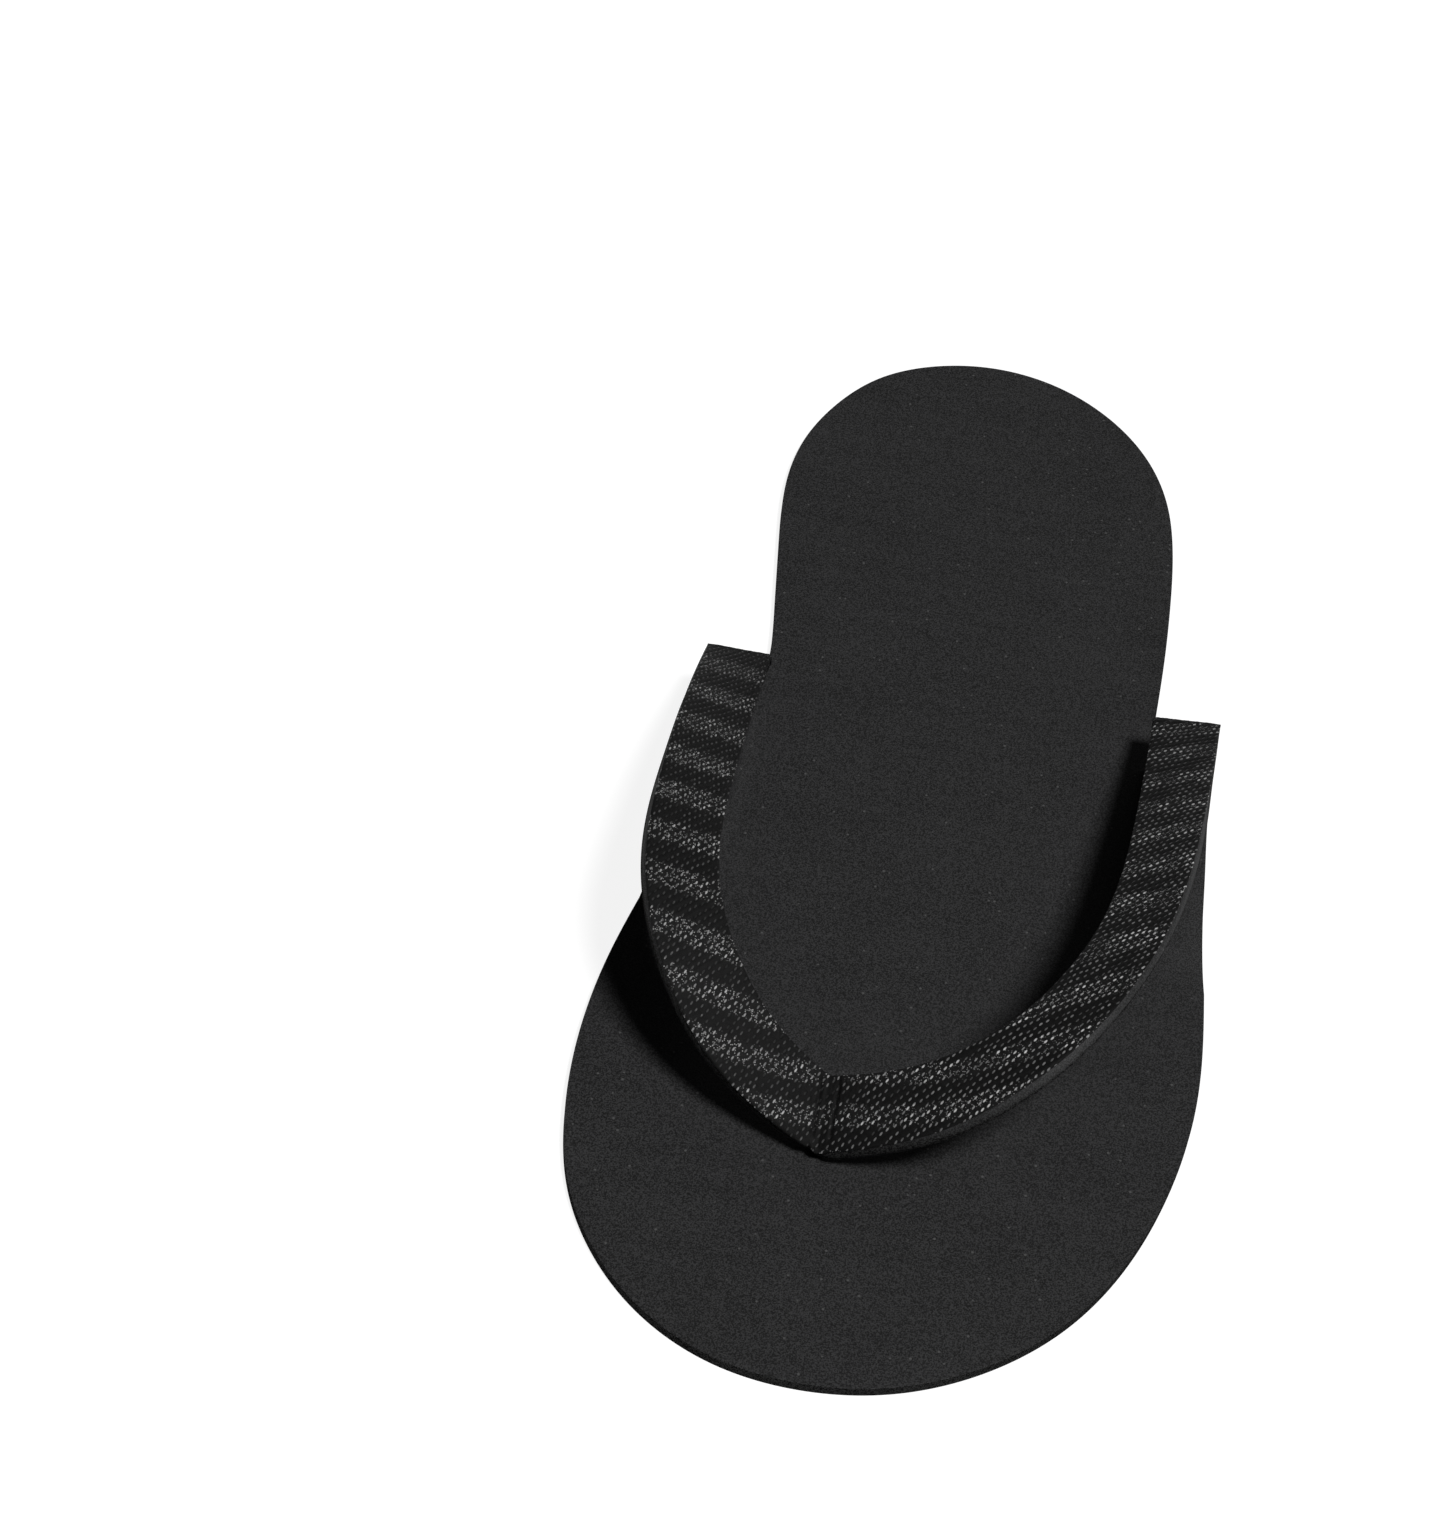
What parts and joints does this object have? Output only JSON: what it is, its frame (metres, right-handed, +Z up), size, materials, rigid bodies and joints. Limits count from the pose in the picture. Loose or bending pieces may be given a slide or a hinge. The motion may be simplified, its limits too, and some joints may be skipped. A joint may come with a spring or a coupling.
{
  "type": "flip flop",
  "caption": "Thin left-foot flip flop: foam sheet sole with raised side ears, wide V strap of foam faced with striped embossed fabric, upright toe post",
  "frame": {"origin": "centre of the footprint on the ground, under the middle of the sole", "axes": "+Y from toe to heel, +X to the outer side of the left foot, +Z up"},
  "size_m": [0.11, 0.2689, 0.0305],
  "materials": {
    "sole_foam": "matte closed-cell foam",
    "strap_foam": "matte closed-cell foam",
    "strap_fabric": "embossed non-woven, dark and silver-grey stripes",
    "melted_foam": "satin melted edge"
  },
  "bodies": {
    "forefoot": {"sole_front": "sole_foam", "strap_foam": "strap_foam", "strap_facing": "strap_fabric", "toe_post": "strap_foam", "weld_bead_medial": "melted_foam", "weld_bead_lateral": "melted_foam"},
    "heel": {"sole_heel": "sole_foam"}
  },
  "joints": [
    {"name": "sole_fold", "type": "hinge", "parent": "forefoot", "child": "heel", "pos_m": [0, 0.036, 0.002], "axis": [1, 0, 0], "range_deg": [0, 120], "stiffness_Nm_per_rad": 0.005}
  ]
}
